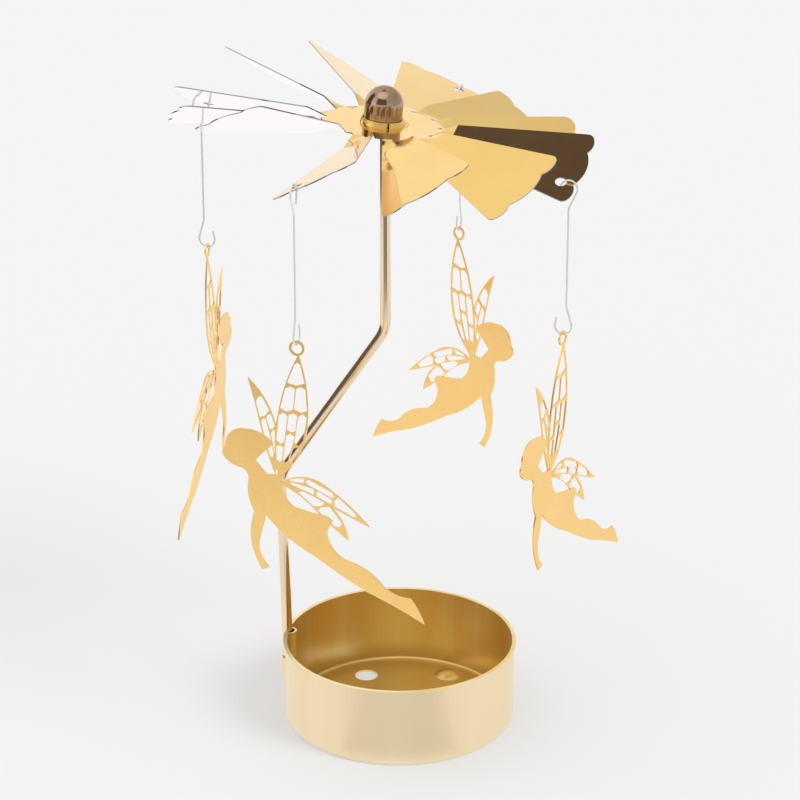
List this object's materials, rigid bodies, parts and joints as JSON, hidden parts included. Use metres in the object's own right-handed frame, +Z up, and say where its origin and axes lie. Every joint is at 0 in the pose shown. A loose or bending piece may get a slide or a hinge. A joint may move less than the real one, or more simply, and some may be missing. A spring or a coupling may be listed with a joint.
{
  "type": "rotating candle carousel",
  "caption": "Round metal candle cup with a cranked rod whose needle point carries a bladed rotor; pierced flying figures hang from the blades on wire hooks and circle above the flame.",
  "frame": {"origin": "centre of the cup's underside, on the surface that it stands on", "axes": "+Z up, -X from the cup's centre towards the rod's clip, +Y to the back"},
  "size_m": [0.1113, 0.1176, 0.1768],
  "materials": {
    "champagne_gold": "satin, brushed round",
    "rod_gold": "polished",
    "bronze_cap": "polished",
    "polished_gold": "mirror polished",
    "satin_gold": "satin",
    "steel_wire": "bright wire"
  },
  "bodies": {
    "base": {"candle_cup": "champagne_gold", "support_rod": "rod_gold"},
    "rotor": {"rotor": "polished_gold", "pivot_cap": "bronze_cap"},
    "hook_right": {"hook_right": "steel_wire"},
    "fairy_right": {"fairy_right": "satin_gold"},
    "hook_back": {"hook_back": "steel_wire"},
    "fairy_back": {"fairy_back": "satin_gold"},
    "hook_left": {"hook_left": "steel_wire"},
    "fairy_left": {"fairy_left": "satin_gold"},
    "hook_front": {"hook_front": "steel_wire"},
    "fairy_front": {"fairy_front": "satin_gold"}
  },
  "joints": [
    {"name": "rotor_spin", "type": "hinge", "parent": "base", "child": "rotor", "pos_m": [-0.0036, 0, 0.1678], "axis": [0, 0, 1], "continuous": true},
    {"name": "hook_right_swing", "type": "hinge", "parent": "rotor", "child": "hook_right", "pos_m": [0.04224, -0.01262, 0.15201], "axis": [-0.1597, -0.9872, 0], "range_deg": [-6, 20]},
    {"name": "fairy_right_swing", "type": "hinge", "parent": "hook_right", "child": "fairy_right", "pos_m": [0.04224, -0.01262, 0.11367], "axis": [0.9122, -0.4098, 0], "range_deg": [-25, 25]},
    {"name": "hook_back_swing", "type": "hinge", "parent": "rotor", "child": "hook_back", "pos_m": [0.00839, 0.04716, 0.15721], "axis": [0.9882, -0.1531, 0], "range_deg": [-6, 20]},
    {"name": "fairy_back_swing", "type": "hinge", "parent": "hook_back", "child": "fairy_back", "pos_m": [0.00839, 0.04716, 0.11895], "axis": [0.5564, 0.8309, 0], "range_deg": [-25, 25]},
    {"name": "hook_left_swing", "type": "hinge", "parent": "rotor", "child": "hook_left", "pos_m": [-0.0517, 0.0124, 0.16079], "axis": [0.1555, 0.9878, 0], "range_deg": [-6, 20]},
    {"name": "fairy_left_swing", "type": "hinge", "parent": "hook_left", "child": "fairy_left", "pos_m": [-0.0517, 0.0124, 0.12272], "axis": [-0.9976, 0.0688, 0], "range_deg": [-25, 25]},
    {"name": "hook_front_swing", "type": "hinge", "parent": "rotor", "child": "hook_front", "pos_m": [-0.01686, -0.04747, 0.15869], "axis": [-0.9873, 0.1591, 0], "range_deg": [-6, 20]},
    {"name": "fairy_front_swing", "type": "hinge", "parent": "hook_front", "child": "fairy_front", "pos_m": [-0.01686, -0.04747, 0.12062], "axis": [-0.1591, -0.9873, 0], "range_deg": [-25, 25]}
  ]
}
